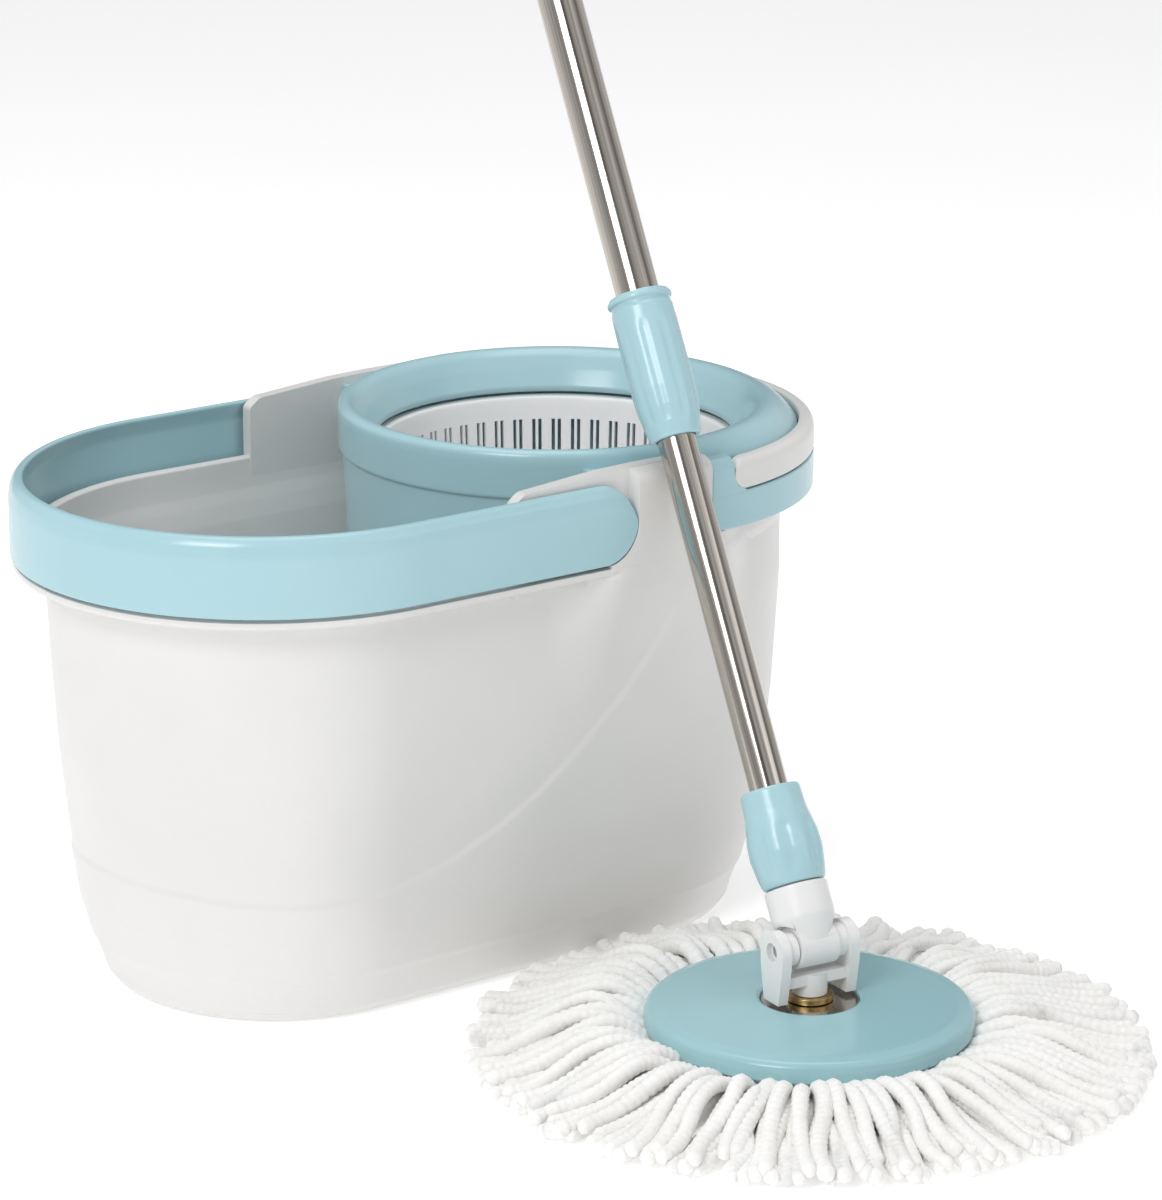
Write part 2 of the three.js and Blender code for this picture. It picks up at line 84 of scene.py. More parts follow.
CAMERA_PLACE = (-1.3924, -2.0057, 0.9041)
CAMERA_FORWARD = Vector((0.57250, 0.76855, -0.28561))
CAMERA_ROLL = 0.00243
CAMERA_LENS = 150.1       # millimetres, on a sensor of SENSOR_WIDTH
SENSOR_WIDTH = 36
VIEW_LENGTH = 60
FLOOR_HALF = 14
FLOOR_GAP = 0.0004        # the floor lies this far under the bucket's base
WORLD_STRENGTH = 0.76
FLOOR_GLOW = 0.34
LIGHTS = [                # name, place, the point it faces, size and power
    ("key", (-2.4, -1.2, 2.2), (0, 0, 0.15), (1.3, 1.3), 41),
    ("fill", (1.6, -3.0, 1.7), (0.05, -0.1, 0.12), (1.6, 1.6), 6),
    ("top", (0.1, 0.3, 3.0), (0.05, -0.05, 0), (2.0, 2.0), 28),
]


def add_camera():
    camera = bpy.data.objects.new("camera", bpy.data.cameras.new("camera"))
    camera.data.sensor_width = SENSOR_WIDTH
    camera.data.lens = CAMERA_LENS
    camera.data.clip_end = VIEW_LENGTH
    roll = Matrix.Rotation(CAMERA_ROLL, 4, "Z")
    turn = CAMERA_FORWARD.to_track_quat("-Z", "Y").to_matrix().to_4x4()
    camera.matrix_world = Matrix.Translation(CAMERA_PLACE) @ turn @ roll
    bpy.context.scene.collection.objects.link(camera)
    bpy.context.scene.camera = camera


def add_light(name, place, aim, size, power):
    data = bpy.data.lights.new(name, "AREA")
    data.shape = "RECTANGLE"
    data.size, data.size_y = size
    data.energy = power
    light = bpy.data.objects.new(name, data)
    direction = Vector(aim) - Vector(place)
    turn = direction.to_track_quat("-Z", "Y").to_matrix().to_4x4()
    light.matrix_world = Matrix.Translation(place) @ turn
    bpy.context.scene.collection.objects.link(light)


def add_world():
    """A pale studio with darker panels between its lights, which show only as bands in the metal."""
    world = bpy.data.worlds.new("studio")
    bpy.context.scene.world = world
    world.use_nodes = True
    nodes, links = world.node_tree.nodes, world.node_tree.links
    background = nodes["Background"]
    place = nodes.new("ShaderNodeTexCoord")
    round_about = nodes.new("ShaderNodeTexGradient")
    round_about.gradient_type = "RADIAL"
    panels = nodes.new("ShaderNodeValToRGB")
    panels.color_ramp.interpolation = "EASE"
    stops = [
        (0.0, 0.55), (0.08, 0.90), (0.14, 0.16), (0.20, 0.70), (0.32, 0.85), (0.40, 0.30),
        (0.48, 0.90), (0.56, 0.95), (0.64, 0.12), (0.71, 0.10), (0.76, 0.80), (0.86, 0.90), (1.0, 0.55),
    ]
    ramp = panels.color_ramp.elements
    while len(ramp) < len(stops):
        ramp.new(0.5)
    for element, (position, value) in zip(ramp, stops):
        element.position = position
        element.color = (value, value, value * 1.01, 1)
    links.new(place.outputs["Generated"], round_about.inputs["Vector"])
    links.new(round_about.outputs["Color"], panels.inputs["Fac"])
    links.new(panels.outputs["Color"], background.inputs["Color"])
    background.inputs["Strength"].default_value = WORLD_STRENGTH


def add_floor():
    mesh = bpy.data.meshes.new("floor")
    corners = [(x * FLOOR_HALF, y * FLOOR_HALF, 0) for x, y in ((-1, -1), (1, -1), (1, 1), (-1, 1))]
    mesh.from_pydata(corners, [], [(0, 1, 2, 3)])
    floor = bpy.data.objects.new("floor", mesh)
    floor.location.z = -FLOOR_GAP
    floor.data.materials.append(floor_material())
    bpy.context.scene.collection.objects.link(floor)


# ---------------------------------------------------------------- materials

class Nodes:
    """A small helper that wires one node material."""

    def __init__(self, name):
        self.material = bpy.data.materials.new(name)
        self.material.use_nodes = True
        self.tree = self.material.node_tree
        self.shader = self.tree.nodes["Principled BSDF"]
        self.place = self.tree.nodes.new("ShaderNodeTexCoord").outputs["Object"]

    def add(self, kind, inputs=(), **settings):
        node = self.tree.nodes.new(kind)
        for key, value in settings.items():
            setattr(node, key, value)
        for key, value in dict(inputs).items():
            if isinstance(value, bpy.types.NodeSocket):
                self.tree.links.new(value, node.inputs[key])
            else:
                node.inputs[key].default_value = value
        return node

    def stretched(self, scale):
        return self.add("ShaderNodeMapping", {"Vector": self.place, "Scale": scale}).outputs["Vector"]

    def noise(self, scale, detail, vector=None, roughness=0.5):
        inputs = {"Vector": vector or self.place, "Scale": scale, "Detail": detail, "Roughness": roughness}
        return self.add("ShaderNodeTexNoise", inputs).outputs["Fac"]

    def between(self, value, low, high, start=0.3, stop=0.7):
        inputs = {"Value": value, "From Min": start, "From Max": stop, "To Min": low, "To Max": high}
        return self.add("ShaderNodeMapRange", inputs).outputs["Result"]

    def blend(self, share, first, second):
        mix = self.add("ShaderNodeMix", data_type="RGBA")
        for socket, value in ((mix.inputs[0], share), (mix.inputs[6], first), (mix.inputs[7], second)):
            if isinstance(value, bpy.types.NodeSocket):
                self.tree.links.new(value, socket)
            else:
                socket.default_value = value
        return mix.outputs[2]

    def bump(self, height, strength, distance, normal=None):
        inputs = {"Height": height, "Strength": strength, "Distance": distance}
        if normal is not None:
            inputs["Normal"] = normal
        return self.add("ShaderNodeBump", inputs).outputs["Normal"]

    def link(self, output, socket):
        self.tree.links.new(output, self.shader.inputs[socket])

    def fixed(self, **values):
        for key, value in values.items():
            self.shader.inputs[key.replace("_", " ")].default_value = value


def linear(red, green, blue):
    """An sRGB colour out of 255, as a linear colour."""
    def channel(value):
        value /= 255
        return value / 12.92 if value <= 0.04045 else ((value + 0.055) / 1.055) ** 2.4
    return (channel(red), channel(green), channel(blue), 1)


def moulded_plastic(name, colour, shade, roughness, grain):
    """Injection-moulded plastic: cloudy colour, a fine spark-eroded grain, and slight sink waves."""
    n = Nodes(name)
    gloss_spread = 0.05
    cloud = n.between(n.noise(9, 4), 0, 1)
    speck = n.between(n.noise(420, 2), 0, 0.25, 0.52, 0.75)
    tone = n.blend(cloud, colour, shade)
    n.link(n.blend(speck, tone, shade), "Base Color")
    handling = n.noise(14, 5, roughness=0.6)
    n.link(n.between(handling, roughness - gloss_spread, roughness + gloss_spread, 0.1, 0.9), "Roughness")
    sink = n.bump(n.noise(12, 0), 0.05, 0.0006)
    n.link(n.bump(n.noise(2600, 2), grain, 0.00004, sink), "Normal")
    n.fixed(IOR=1.49, Specular_IOR_Level=0.5)
    return n.material


def polished_tube(name):
    """Drawn stainless tube: fine lengthwise draw lines and a soft smear of roughness."""
    n = Nodes(name)
    lines = n.noise(900, 2, n.stretched((1, 1, 0.004)), 0.6)
    smear = n.noise(16, 3)
    n.link(n.blend(n.between(lines, 0, 1), linear(176, 168, 158), linear(206, 201, 194)), "Base Color")
    worn = n.add("ShaderNodeMath", {0: n.between(lines, 0.0, 0.06), 1: n.between(smear, 0.07, 0.15)})
    n.link(worn.outputs[0], "Roughness")
    n.link(n.bump(lines, 0.015, 0.00003), "Normal")
    n.fixed(Metallic=1.0)
    return n.material


def plated_metal(name, colour, shade, roughness):
    """Turned and plated metal: faint turning marks round it and small stains."""
    n = Nodes(name)
    marks = n.noise(1300, 3, n.stretched((0.15, 0.15, 1)))
    stains = n.between(n.noise(150, 4), 0, 1)
    n.link(n.blend(stains, colour, shade), "Base Color")
    n.link(n.between(marks, roughness, roughness + 0.15), "Roughness")
    n.link(n.bump(marks, 0.15, 0.00004), "Normal")
    n.fixed(Metallic=1.0)
    return n.material


def yarn_material(name):
    """Microfibre cord: bright, with short matted fibres, and faint darker patches that are painted shade for
    its hollows.
    """
    n = Nodes(name)
    fibres = n.noise(1500, 4, roughness=0.7)
    tufts_and_painted_shade = n.noise(420, 3)
    cloud = n.between(n.noise(30, 3), 0, 1)
    tone = n.blend(cloud, linear(253, 252, 250), linear(245, 244, 241))
    # Painted shade: the tufts noise darkens the yarn in patches towards a greyer white, as shade for its
    # hollows; the same noise also drives the coarse bump.
    n.link(n.blend(n.between(tufts_and_painted_shade, 0.0, 0.5, 0.35, 0.75), tone, linear(236, 234, 230)), "Base Color")
    n.link(n.between(fibres, 0.80, 0.97), "Roughness")
    coarse = n.bump(tufts_and_painted_shade, 0.5, 0.0006)
    n.link(n.bump(fibres, 0.6, 0.0003, coarse), "Normal")
    n.fixed(Sheen_Weight=0.35, Sheen_Roughness=0.45, Subsurface_Weight=0.25, Subsurface_Scale=0.004)
    n.shader.inputs["Subsurface Radius"].default_value = (1.0, 0.95, 0.9)
    return n.material


def floor_material():
    n = Nodes("floor_paper")
    cloud = n.between(n.noise(2, 2), 0, 1)
    n.link(n.blend(cloud, (0.90, 0.90, 0.90, 1), (0.92, 0.92, 0.92, 1)), "Base Color")
    n.fixed(Roughness=0.75)
    n.shader.inputs["Emission Color"].default_value = (1, 1, 1, 1)
    n.shader.inputs["Emission Strength"].default_value = FLOOR_GLOW
    return n.material


GREY = moulded_plastic("bucket_grey", linear(227, 226, 224), linear(221, 220, 218), 0.34, 0.25)
WHITE = moulded_plastic("joint_white", linear(236, 236, 235), linear(227, 227, 226), 0.32, 0.20)
BASKET_GREY = moulded_plastic("basket_grey", linear(244, 244, 244), linear(238, 238, 238), 0.34, 0.20)
BLUE = moulded_plastic("rim_blue", linear(172, 208, 216), linear(166, 203, 211), 0.21, 0.12)
DISC_BLUE = moulded_plastic("disc_blue", linear(157, 198, 204), linear(152, 193, 200), 0.20, 0.12)
STAINLESS = polished_tube("tube_stainless")
STEEL = plated_metal("fitting_zinc", linear(188, 187, 184), linear(160, 160, 160), 0.28)
BRASS = plated_metal("washer_brass", linear(205, 180, 128), linear(168, 138, 84), 0.24)
YARN = yarn_material("microfibre_yarn")


# ---------------------------------------------------------------- mesh helpers

def soften(profile, size, closed=True, steps=3):
    """The profile with a curve of about this size at each corner."""
    points = np.array(profile, float)
    count = len(points)
    out = []
    for i, here in enumerate(points):
        if not closed and i in (0, count - 1):
            out.append(here)
            continue
        before, after = points[i - 1], points[(i + 1) % count]
        to_before, to_after = before - here, after - here
        length_before, length_after = np.linalg.norm(to_before), np.linalg.norm(to_after)
        start = here + to_before * min(size / length_before, 0.42)
        end = here + to_after * min(size / length_after, 0.42)
        for t in np.linspace(0, 1, steps + 1):
            out.append((1 - t) ** 2 * start + 2 * t * (1 - t) * here + t * t * end)
    return np.array(out)


def resampled(profile, step, closed=False):
    """The profile with no side longer than step."""
    points = np.array(profile, float)
    following = np.roll(points, -1, axis=0) if closed else points[1:]
    out = []
    for here, there in zip(points, following):
        pieces = max(1, int(math.ceil(np.linalg.norm(there - here) / step)))
        out.extend(here + (there - here) * k / pieces for k in range(pieces))
    if not closed:
        out.append(points[-1])
    return np.array(out)


def grid_faces(rows, columns, wrap_rows, wrap_columns, keep=None):
    faces = []
    for i in range(rows if wrap_rows else rows - 1):
        for j in range(columns if wrap_columns else columns - 1):
            if keep is None or keep(i, j):
                i2, j2 = (i + 1) % rows, (j + 1) % columns
                faces.append((i * columns + j, i * columns + j2, i2 * columns + j2, i2 * columns + j))
    return faces


def end_faces(rows, columns):
    """The flat ends of a tube made of rings with this many columns."""
    total = rows * columns
    return [tuple(range(columns)), tuple(range(total - 1, total - columns - 1, -1))]


def tidy(mesh):
    """Joins vertices that coincide and turns the faces outwards."""
    work = bmesh.new()
    work.from_mesh(mesh)
    bmesh.ops.remove_doubles(work, verts=work.verts, dist=2e-6)
    bmesh.ops.dissolve_degenerate(work, edges=work.edges, dist=1e-7)
    bmesh.ops.recalc_face_normals(work, faces=work.faces)
    work.to_mesh(mesh)
    work.free()


def raw_object(name, vertices, faces):
    mesh = bpy.data.meshes.new(name)
    mesh.from_pydata((np.asarray(vertices, float) * MM).tolist(), [], faces)
    tidy(mesh)
    obj = bpy.data.objects.new(name, mesh)
    bpy.context.scene.collection.objects.link(obj)
    return obj


def apply_modifiers(obj):
    bpy.context.view_layer.update()
    evaluated = obj.evaluated_get(bpy.context.evaluated_depsgraph_get())
    mesh = bpy.data.meshes.new_from_object(evaluated)
    obj.modifiers.clear()
    old, obj.data = obj.data, mesh
    bpy.data.meshes.remove(old)


def boolean(obj, tool, operation):
    modifier = obj.modifiers.new("boolean", "BOOLEAN")
    modifier.operation = operation
    modifier.solver = "EXACT"
    modifier.object = tool
    apply_modifiers(obj)
    bpy.data.objects.remove(tool)
    return obj


def bevel(obj, width, segments=3, angle=35):
    modifier = obj.modifiers.new("bevel", "BEVEL")
    modifier.width = width * MM
    modifier.segments = segments
    modifier.limit_method = "ANGLE"
    modifier.angle_limit = math.radians(angle)
    modifier.use_clamp_overlap = True
    modifier.miter_outer = "MITER_ARC"
    apply_modifiers(obj)
    return obj


def finished(obj, material, body, nodes=(), place=IDENTITY, sharp=42):
    """Shades the piece, gives it its material, and makes it ride on its body in place of CAD nodes."""
    mesh = obj.data
    mesh.name = obj.name
    mesh.materials.clear()
    mesh.materials.append(material)
    mesh.polygons.foreach_set("use_smooth", [True] * len(mesh.polygons))
    mesh.polygons.foreach_set("material_index", [0] * len(mesh.polygons))
    mesh.set_sharp_from_angle(angle=math.radians(sharp))
    modifier = obj.modifiers.new("normals", "WEIGHTED_NORMAL")
    modifier.keep_sharp = True
    modifier.weight = 60
    apply_modifiers(obj)
    obj.matrix_world = place
    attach(obj, body)
    if nodes:
        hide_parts(*nodes)
    return obj


# ---------------------------------------------------------------- shapes

def turned(name, profile, segments, swell=None):
    """A piece turned about Z. A profile that doesn't start and end on the axis closes on itself."""
    points = np.array(profile, float)
    on_axis = points[0][0] == 0 and points[-1][0] == 0
    angles = np.arange(segments) * 2 * math.pi / segments
    r, z = points[:, 0][:, None], points[:, 1][:, None]
    radius = r + (swell(z, angles[None, :]) if swell else np.zeros((1, segments)))
    radius = np.where(r == 0, 0, radius)
    vertices = np.stack([radius * np.cos(angles), radius * np.sin(angles), z + 0 * angles], -1)
    faces = grid_faces(len(points), segments, not on_axis, True)
    return raw_object(name, vertices.reshape(-1, 3), faces)


def turned_piece(name, profile, material, body, nodes, place, size, segments=96, swell=None, step=None):
    points = np.array(profile, float)
    closed = not (points[0][0] == 0 and points[-1][0] == 0)
    curve = soften(points, size, closed)
    if step:
        curve = resampled(curve, step, closed)
    return finished(turned(name, curve, segments, swell), material, body, nodes, place)


def stadium_columns(straight_steps, arc_steps):
    """Places right round a stadium, as (share of the half straight side, angle)."""
    right = [(1, a) for a in np.linspace(-math.pi / 2, math.pi / 2, arc_steps, endpoint=False)]
    back = [(c, math.pi / 2) for c in np.linspace(1, -1, straight_steps, endpoint=False)]
    left = [(-1, a) for a in np.linspace(math.pi / 2, 1.5 * math.pi, arc_steps, endpoint=False)]
    front = [(c, 1.5 * math.pi) for c in np.linspace(-1, 1, straight_steps, endpoint=False)]
    return right + back + left + front


def placed(u, v, w, plane):
    """The point whose place in the plane is u, v, and w across it."""
    if plane == "XZ":
        return (u, w, v)
    if plane == "YZ":
        return (w, u, v)
    return (u, v, w)


def extruded(name, outline, span, plane):
    """A plate: its outline in two axes, and its span along the third."""
    count = len(outline)
    vertices = [placed(u, v, w, plane) for w in span for u, v in outline]
    return raw_object(name, vertices, end_faces(2, count) + grid_faces(2, count, False, True))


def rod(name, radius, start, end, segments=64):
    """A plain rod between two points, to cut with or to join on."""
    start, end = Vector(start), Vector(end)
    turn = UP.rotation_difference(end - start).to_matrix()
    length = (end - start).length
    angles = np.arange(segments) * 2 * math.pi / segments
    vertices = []
    for height in (0, length):
        for a in angles:
            vertices.append(start + turn @ Vector((radius * math.cos(a), radius * math.sin(a), height)))
    faces = end_faces(2, segments) + grid_faces(2, segments, False, True)
    return raw_object(name, [tuple(v) for v in vertices], faces)


def side_span(side, near, far):
    """From near to far on one side of the middle, lowest first."""
    return (-far, -near) if side < 0 else (near, far)


def smoothstep(value, low, high):
    t = np.clip((value - low) / (high - low), 0, 1)
    return t * t * (3 - 2 * t)


# ---------------------------------------------------------------- bucket

# Radius, height and half of the straight side: up the outside, over the ring and down the inside.
WALL_PROFILE = [
    (80, 0, 88), (85, 1.5, 88), (88, 6, 88), (94, 25, 89), (98.5, 45, 90), (103.5, 80, 90),
    (107.5, 120, 90), (110.5, 170, 90), (112, 205, 90), (114, 211, 90), (127, 215, 90), (128, 216.5, 90),
    (127.5, 218.5, 90), (119.5, 219, 90), (119.5, 231.5, 90), (117, 232.7, 90), (114.2, 231.5, 90),
    (113.8, 222, 90), (113.2, 216, 90), (111.6, 209.5, 90), (109.9, 200, 90), (107.9, 170, 90),
    (104.9, 120, 90), (100.9, 80, 90), (95.9, 45, 90), (91.2, 27, 89), (86, 9, 88), (80, 3.2, 88),
]
OUTER_POINTS = 13         # the first points of WALL_PROFILE, up to the top of the ledge
LEDGE_START = 205         # where the wall turns out into the ledge that the carry handle sits over
LEDGE_TOP = 219
WALL_RADIUS = 112         # the wall at LEDGE_START
RING_RADIUS = 119.5       # outside of the ring above the ledge
FLARE_REACH = 17.1        # how far the wall swells out at most
FLARE_START = 105         # height where the swelling starts
FLARE_RISE = 108          # height over which it grows
FLARE_LIMIT = 129.05      # the flare goes no further out than the rim
SKIRT_X = 87              # from here on the wringer frame's skirt covers the ring
UNDER_SKIRT_STRETCH = 1.6 # there the wall's top is drawn up to the skirt's lower edge
UNDER_SKIRT_LIFT = 9.0    # and the ring's top is lifted

SWEEP_STEP = 1.1          # how far the wall stands out below the sweep
FOOT_GROOVE = 0.8

# The sweep across the side wall, as places along X and heights.
SWEEP = [
    (-222, 73), (-192, 72), (-163, 68), (-135, 66), (-110, 67), (-84, 70), (-55, 77), (-26, 90),
    (-2, 104), (21, 123), (45, 147), (62, 172), (76, 205), (90, 230),
]


def flare(x, z):
    """How far the side wall swells out under the shoulders."""
    share = smoothstep(x, -4, 34) * (1 - smoothstep(x, 88, 132))
    rise = np.clip((z - FLARE_START) / FLARE_RISE, 0, 1)
    return share * FLARE_REACH * rise ** 2.2


def wall_relief(x, z):
    """The moulded step of the side wall, which rises in a sweep, and the foot's soft groove."""
    line = np.interp(x, [p[0] for p in SWEEP], [p[1] for p in SWEEP])
    sweep = SWEEP_STEP * smoothstep(line - z, -2.2, 2.2)
    foot = -FOOT_GROOVE * (1 - smoothstep(z, 22, 26)) * smoothstep(z, 4, 12)
    return (sweep + foot) * smoothstep(z, 0, 9) * (1 - smoothstep(z, 180, 205))


def wall_curve():
    """WALL_PROFILE with soft corners and even steps."""
    profile = np.array(WALL_PROFILE, float)
    outer = resampled(profile[:OUTER_POINTS], 2.6)
    inner = profile[OUTER_POINTS:]
    return resampled(np.vstack([soften(outer, 1.2, False, 2), soften(inner, 0.9, False, 3)]), 9)


def bucket_body():
    """The shell. Under the skirt its wall goes straight on up to the skirt, with no ledge."""
    curve = wall_curve()
    columns = stadium_columns(88, 116)
    shares = np.array([c[0] for c in columns])
    angles = np.array([c[1] for c in columns])
    r, z, straight = (curve[:, k][:, None] for k in range(3))
    x = shares[None, :] * straight + r * np.cos(angles)
    rows = np.arange(len(curve))
    split = int(np.argmin(np.abs(curve[:, 0] - RING_RADIUS) + np.abs(curve[:, 1] - LEDGE_TOP) * 2))
    is_outer = (rows < split)[:, None]
    is_below_ring = (rows <= split)[:, None]
    swollen = np.where(z < LEDGE_START, r, WALL_RADIUS) + flare(x, z)
    under_skirt = x > SKIRT_X
    no_ledge = under_skirt & (r > WALL_RADIUS) & (z > LEDGE_START - 1)
    ledge = np.where(no_ledge, WALL_RADIUS, r)
    outside = np.maximum(ledge, np.minimum(swollen, FLARE_LIMIT)) + wall_relief(x, z)
    radius = np.where(is_outer, outside, r)
    raised = LEDGE_START + (z - LEDGE_START) * UNDER_SKIRT_STRETCH
    height = np.where(under_skirt & is_below_ring & (z > LEDGE_START), raised, z + 0 * x)
    on_ring = under_skirt & ~is_below_ring & (z > LEDGE_TOP + 2)
    height = np.where(on_ring, height + UNDER_SKIRT_LIFT, height)
    vertices = np.stack([
        shares[None, :] * straight + radius * np.cos(angles), radius * np.sin(angles), height + 0 * x,
    ], -1)
    count = len(columns)
    faces = grid_faces(len(curve), count, False, True) + end_faces(len(curve), count)
    obj = raw_object("bucket_shell", vertices.reshape(-1, 3), faces)
    return finished(obj, GREY, "bucket", ["bucket_body"], sharp=50)


def shoulder(side, name):
    """The pale shoulder: a thin plate behind the carry handle, which steps out flush with it."""
    step_x, block_end, plate_end = 41.2, 86.7, 86.6
    handle_room = 20.6
    plate = extruded(name, soften([
        (-28, 210), (plate_end, 210), (plate_end, 266.5), (44, 266.5), (24, 266), (-22, 262.5), (-28, 258),
    ], 2.0), side_span(side, 113.7, 120.5), "XZ")
    block = extruded("block", [
        (side * y, z) for y, z in
        [(116, 213), (129, 213), (129, 259.5), (128.2, 262.3), (126, 264.5), (122, 265.9), (116, 266.1)]
    ], (step_x, block_end), "YZ")
    corner_outline = [(25, 217), (45, 217), (45, 240.5), (25, 240.5)]
    corner = extruded("corner", corner_outline, side_span(side, 119.5, 128.9), "XZ")
    boolean(block, corner, "UNION")
    pocket = rod("pocket", handle_room, (CARRY_X, side * 120.5, CARRY_Z), (CARRY_X, side * 140, CARRY_Z), 96)
    boolean(block, pocket, "DIFFERENCE")
    bevel(block, 3.0, 5)
    boolean(plate, block, "UNION")
    bevel(plate, 0.7, 2, 50)
    return finished(plate, GREY, "bucket")


# ---------------------------------------------------------------- handles

CARRY_HALF = 20           # half of the carry handle's height
TILT_HALF = 8             # half of the tilt handle's height
TILT_MIDDLE = 125         # radius of the tilt handle's middle
TIP_LEAST = 0.02          # keeps a tip's last column from closing to a point


def squeezed(z, middle, half, limit):
    """Draws a section in towards its middle, so that it ends in a round tip."""
    share = np.clip(limit / half, 0, 1)
    return middle + (z - middle) * share


def swept_band(name, curve, columns, place_point):
    """A closed section carried along a row of columns, with both ends capped."""
    vertices = [place_point(column, point) for point in curve for column in columns]
    count = len(columns)
    faces = grid_faces(len(curve), count, True, False)
    faces.append(tuple(i * count for i in range(len(curve))))
    faces.append(tuple((i + 1) * count - 1 for i in reversed(range(len(curve)))))
    return raw_object(name, vertices, faces)


def carry_handle():
    curve = resampled(soften([
        (129, 220.5), (129, 250), (127.9, 256.4), (125.5, 259.8), (122.5, 260.5), (121.4, 259.2),
        (122.4, 256.5), (124.3, 251), (124.3, 220.5),
    ], 1.6, True, 4), 4, True)
    tip = CARRY_X + CARRY_HALF * np.sin(np.linspace(0.02, math.pi / 2, 26))
    side = np.concatenate([np.linspace(-HALF_STRAIGHT, CARRY_X, 24, endpoint=False), tip])
    arc = np.linspace(-math.pi / 2, -1.5 * math.pi, 90)[1:-1]
    columns = [(x, -1, None) for x in side[::-1]] + [(None, None, a) for a in arc]
    columns += [(x, 1, None) for x in side]

    def place_point(column, point):
        x, sign, angle = column
        r, z = point
        if angle is not None:
            return (-HALF_STRAIGHT + r * math.cos(angle), r * math.sin(angle), z)
        over = max(0.0, x - CARRY_X)
        z = squeezed(z, CARRY_Z, CARRY_HALF, math.sqrt(max(CARRY_HALF ** 2 - over * over, TIP_LEAST)))
        return (x, sign * r, z)

    obj = swept_band("carry_band", curve, columns, place_point)
    bevel(obj, 0.7, 2, 50)
    return finished(obj, BLUE, "carry_handle", ["carry_handle"])


def carry_boss(side):
    name = "carry_boss_front" if side < 0 else "carry_boss_back"
    place = frame_of((1, 0, 0), (0, side, 0), Vector((CARRY_X, 0, CARRY_Z)) * MM)
    profile = [(4.3, 121.4), (11, 121.4), (11, 125.6), (4.3, 125.6)]
    return turned_piece(name, profile, BLUE, "carry_handle", [], place, 0.5, 48)


def handle_pin(name, node, side, x, z, profile):
    place = frame_of((1, 0, 0), (0, side, 0), Vector((x, 0, z)) * MM)
    return turned_piece(name, profile, STEEL, "bucket", [node], place, 0.6, 48)


def tilt_angle(x, r):
    """The angle round the bucket's end at which a ring of this radius reaches x."""
    return math.asin(min(1, (x - HALF_STRAIGHT) / r))


def tilt_handle():
    curve = resampled(soften([
        (121.2, 246), (129, 246), (129, 257.5), (127.5, 260.8), (124.5, 262), (121.2, 262),
    ], 1.5, True, 4), 3, True)
    tip = TILT_X - TILT_HALF * np.sin(np.linspace(math.pi / 2, 0.05, 16))
    steps = 8
    near = [(x, 1.0) for x in tip]
    near += [(x, 1 - k / steps) for k, x in enumerate(np.linspace(TILT_X, 122, steps))]
    sweep_start = tilt_angle(124, TILT_MIDDLE)
    arc = np.linspace(sweep_start, math.pi - sweep_start, 70)
    columns = [("near", -1, c) for c in near] + [("arc", 1, a) for a in arc]
    columns += [("near", 1, c) for c in reversed(near)]

    def place_point(column, point):
        kind, sign, value = column
        r, z = point
        if kind == "arc":
            angle = value - math.pi / 2
            return (HALF_STRAIGHT + r * math.cos(angle), r * math.sin(angle), z)
        x, flat = value
        angle = flat * tilt_angle(x, r) + (1 - flat) * tilt_angle(x, TILT_MIDDLE)
        over = max(0.0, TILT_X - x)
        z = squeezed(z, TILT_Z, TILT_HALF, math.sqrt(max(TILT_HALF ** 2 - over * over, TIP_LEAST)))
        return (HALF_STRAIGHT + r * math.sin(angle), sign * r * math.cos(angle), z)

    obj = swept_band("tilt_bail", curve, columns, place_point)
    bevel(obj, 0.5, 2, 50)
    return finished(obj, GREY, "tilt_handle", ["tilt_handle"])


# ---------------------------------------------------------------- wringer frame

def collar():
    profile = [
        (91.5, 252.5), (97, 262), (101.5, 268), (105, 270.6), (108.5, 271), (111.4, 269), (111.9, 265),
        (111.6, 246.5), (109.5, 245.5), (108, 214), (106.5, 170), (101.5, 105), (11, 105), (11, 98),
        (4.3, 98), (4.3, 114), (11, 114), (11, 108), (99.4, 108), (104.3, 170), (105.8, 214), (107, 246),
        (93, 250),
    ]
    return turned_piece("wringer_collar", profile, BLUE, "bucket", ["wringer_frame"], WELL_FRAME, 1.6, 160)


def right_band(name, profile, size, start_x):
    """A band round the right end of the stadium, from start_x."""
    curve = resampled(soften(profile, size, True, 4), 4, True)
    first = np.linspace(0, 1, 7)
    join_x = 112
    sweep_start = tilt_angle(join_x, TILT_MIDDLE)
    arc = np.linspace(sweep_start, math.pi - sweep_start, 90)
    columns = [("near", -1, c) for c in first] + [("arc", 1, a) for a in arc[1:-1]]
    columns += [("near", 1, c) for c in first[::-1]]

    def place_point(column, point):
        kind, sign, value = column
        r, z = point
        if kind == "arc":
            angle = value - math.pi / 2
            return (HALF_STRAIGHT + r * math.cos(angle), r * math.sin(angle), z)
        x = start_x + value * (join_x - start_x)
        if x <= HALF_STRAIGHT:
            return (x, sign * r, z)
        angle = (1 - value) * tilt_angle(x, r) + value * tilt_angle(x, TILT_MIDDLE)
        return (HALF_STRAIGHT + r * math.sin(angle), sign * r * math.cos(angle), z)

    obj = swept_band(name, curve, columns, place_point)
    return bevel(obj, 0.8, 2, 50)


def cut_raised_pockets(obj):
    """Makes room for the ends of the tilt handle's arms when they stand upright."""
    start, end = 101, 118
    low, high = 252, 280
    outline = [(start, low), (end, low), (end, high), (start, high)]
    for side in (-1, 1):
        upright = extruded("upright", outline, side_span(side, 117.8, 140), "XZ")
        boolean(obj, upright, "DIFFERENCE")
    return obj


